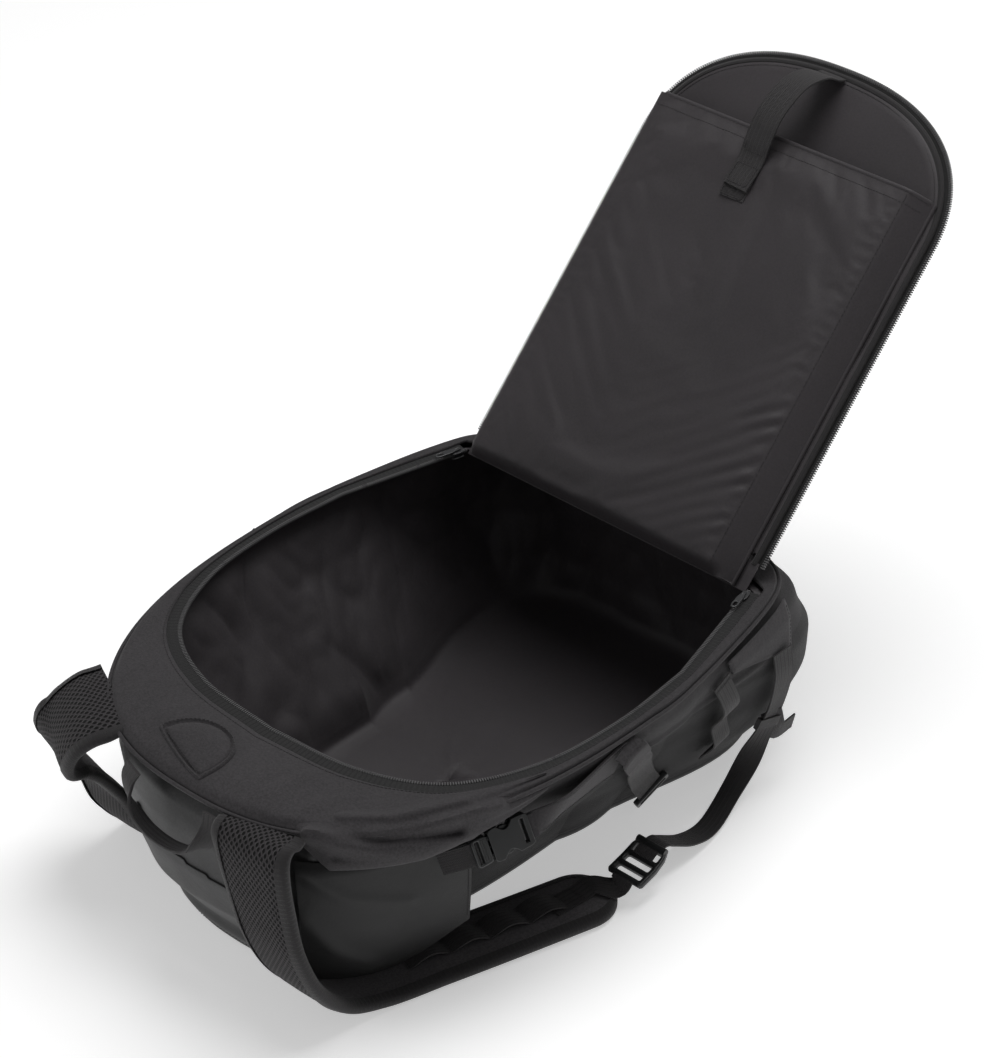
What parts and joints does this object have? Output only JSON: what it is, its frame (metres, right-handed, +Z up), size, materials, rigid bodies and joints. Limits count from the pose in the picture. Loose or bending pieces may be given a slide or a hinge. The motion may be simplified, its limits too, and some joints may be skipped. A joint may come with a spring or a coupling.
{
  "type": "travel backpack",
  "caption": "Clamshell travel backpack lying on its front, back panel unzipped and raised like a lid, with laptop sleeve, roll-top head, shoulder straps, side buckles and haul handle.",
  "frame": {"origin": "on the floor, on the underside of the front panel, below the middle of the zip opening", "axes": "+Z up out of the opening; +Y from the head end, with handle and shoulder straps, to the foot end, where the lid is hinged; +X to the right seen from the head end"},
  "size_m": [0.4426, 0.8297, 0.5037],
  "materials": {
    "canvas": "plain-woven polyester, matt charcoal",
    "coated_fabric": "coated polyester, soft sheen",
    "lining": "fine woven lining, slight sheen",
    "spacer_mesh": "open spacer mesh over foam",
    "webbing": "ribbed woven webbing",
    "foam": "closed-cell foam sheet",
    "acetal_plastic": "moulded, satin black",
    "zip_nylon": "coil zip on woven tape",
    "polyethylene_board": "smooth sheet"
  },
  "bodies": {
    "bag": {"side_wall": "canvas", "front_panel": "coated_fabric", "bag_lining": "lining", "yoke_panel": "canvas", "seam_piping": "canvas", "port_patch": "canvas", "rolltop_flap": "coated_fabric", "body_zip": "zip_nylon", "buckle_socket_right": "acetal_plastic", "buckle_socket_left": "acetal_plastic", "buckle_tab_right": "webbing", "buckle_tab_left": "webbing", "strap_wing_right": "canvas", "strap_wing_left": "canvas", "gear_loop_right": "webbing", "gear_loop_left": "webbing", "compression_strap_right": "webbing", "compression_strap_left": "webbing"},
    "lid": {"lid_back_foam": "foam", "lid_frame_sheet": "polyethylene_board", "lid_lining": "lining", "lid_hinge_tape": "canvas", "lid_zip": "zip_nylon", "back_cushion_right": "spacer_mesh", "back_cushion_left": "spacer_mesh", "lumbar_cushion": "spacer_mesh", "laptop_sleeve": "lining", "loop_patch": "webbing"},
    "sleeve_strap_loop": {"sleeve_strap": "webbing"},
    "handle": {"top_handle": "webbing"},
    "strap_right": {"shoulder_pad_right": "spacer_mesh", "daisy_chain_right": "webbing", "pad_end_loop_right": "webbing", "lower_webbing_right": "webbing"},
    "lock_right": {"ladder_lock_right": "acetal_plastic"},
    "strap_slide_right": {"slide_buckle_right": "acetal_plastic"},
    "plug_right": {"buckle_plug_right": "acetal_plastic", "buckle_tongue_right": "acetal_plastic"},
    "prong_upper_right": {"buckle_prong_upper_right": "acetal_plastic"},
    "prong_lower_right": {"buckle_prong_lower_right": "acetal_plastic"},
    "slider_right": {"zip_slider_right": "acetal_plastic"},
    "pull_right": {"zip_pull_right": "acetal_plastic"},
    "strap_left": {"shoulder_pad_left": "spacer_mesh", "daisy_chain_left": "webbing", "pad_end_loop_left": "webbing", "lower_webbing_left": "webbing"},
    "lock_left": {"ladder_lock_left": "acetal_plastic"},
    "strap_slide_left": {"slide_buckle_left": "acetal_plastic"},
    "plug_left": {"buckle_plug_left": "acetal_plastic", "buckle_tongue_left": "acetal_plastic"},
    "prong_upper_left": {"buckle_prong_upper_left": "acetal_plastic"},
    "prong_lower_left": {"buckle_prong_lower_left": "acetal_plastic"},
    "slider_left": {"zip_slider_left": "acetal_plastic"},
    "pull_left": {"zip_pull_left": "acetal_plastic"}
  },
  "joints": [
    {"name": "lid_hinge", "type": "hinge", "parent": "bag", "child": "lid", "pos_m": [0, 0.2, 0.19], "axis": [1, 0, 0], "range_deg": [-15, 126]},
    {"name": "sleeve_strap_hinge", "type": "hinge", "parent": "lid", "child": "sleeve_strap_loop", "pos_m": [-0.006, 0.49133, 0.49401], "axis": [1, 0, 0], "range_deg": [-100, 0]},
    {"name": "handle_hinge", "type": "hinge", "parent": "bag", "child": "handle", "pos_m": [-0.008, -0.303, 0.18], "axis": [1, 0, 0], "range_deg": [-170, 0]},
    {"name": "shoulder_strap_right", "type": "hinge", "parent": "bag", "child": "strap_right", "pos_m": [0.083, -0.3045, 0.179], "axis": [0.2336, 0.9704, -0.0608], "range_deg": [-60, 0]},
    {"name": "ladder_lock_tilt_right", "type": "hinge", "parent": "strap_right", "child": "lock_right", "pos_m": [0.1995, -0.003, 0.022], "axis": [1, 0, 0], "range_deg": [-5, 12]},
    {"name": "strap_slide_buckle_right", "type": "slide", "parent": "bag", "child": "strap_slide_right", "axis": [-0.3566, 0.5859, -0.7277], "range_m": [-0.008, 0.006]},
    {"name": "buckle_release_right", "type": "slide", "parent": "bag", "child": "plug_right", "axis": [-0.2856, -0.9483, -0.1383], "range_m": [0, 0.026], "deforming": ["buckle_prong_upper_right", "buckle_prong_lower_right"]},
    {"name": "prong_squeeze_upper_right", "type": "hinge", "parent": "plug_right", "child": "prong_upper_right", "pos_m": [0.18808, -0.15911, 0.1529], "axis": [0.86, -0.3173, 0.3996], "range_deg": [-10, 0], "stiffness_Nm_per_rad": 0.02},
    {"name": "prong_squeeze_lower_right", "type": "hinge", "parent": "plug_right", "child": "prong_lower_right", "pos_m": [0.1945, -0.15904, 0.13912], "axis": [0.86, -0.3173, 0.3996], "range_deg": [0, 10], "stiffness_Nm_per_rad": 0.02},
    {"name": "zip_slide_right", "type": "slide", "parent": "bag", "child": "slider_right", "axis": [0.2444, -0.9697, 0], "range_m": [0, 0.095]},
    {"name": "zip_pull_swing_right", "type": "hinge", "parent": "slider_right", "child": "pull_right", "pos_m": [0.16195, 0.18724, 0.1904], "axis": [-0.9697, -0.2444, 0], "range_deg": [0, 160]},
    {"name": "shoulder_strap_left", "type": "hinge", "parent": "bag", "child": "strap_left", "pos_m": [-0.133, -0.264, 0.1785], "axis": [-0.1499, 0.9865, -0.0663], "range_deg": [0, 35]},
    {"name": "ladder_lock_tilt_left", "type": "hinge", "parent": "strap_left", "child": "lock_left", "pos_m": [-0.1835, -0.015, 0.022], "axis": [1, 0, 0], "range_deg": [-5, 12]},
    {"name": "strap_slide_buckle_left", "type": "slide", "parent": "bag", "child": "strap_slide_left", "axis": [0.3566, 0.5859, -0.7277], "range_m": [-0.008, 0.006]},
    {"name": "buckle_release_left", "type": "slide", "parent": "bag", "child": "plug_left", "axis": [0.2856, -0.9483, -0.1383], "range_m": [0, 0.026], "deforming": ["buckle_prong_upper_left", "buckle_prong_lower_left"]},
    {"name": "prong_squeeze_upper_left", "type": "hinge", "parent": "plug_left", "child": "prong_upper_left", "pos_m": [-0.1945, -0.15904, 0.13912], "axis": [-0.86, -0.3173, 0.3996], "range_deg": [-10, 0], "stiffness_Nm_per_rad": 0.02},
    {"name": "prong_squeeze_lower_left", "type": "hinge", "parent": "plug_left", "child": "prong_lower_left", "pos_m": [-0.18808, -0.15911, 0.1529], "axis": [-0.86, -0.3173, 0.3996], "range_deg": [0, 10], "stiffness_Nm_per_rad": 0.02},
    {"name": "zip_slide_left", "type": "slide", "parent": "bag", "child": "slider_left", "axis": [-0.2444, -0.9697, 0], "range_m": [0, 0.095]},
    {"name": "zip_pull_swing_left", "type": "hinge", "parent": "slider_left", "child": "pull_left", "pos_m": [-0.16195, 0.18724, 0.1904], "axis": [-0.9697, 0.2444, 0], "range_deg": [0, 160]}
  ]
}
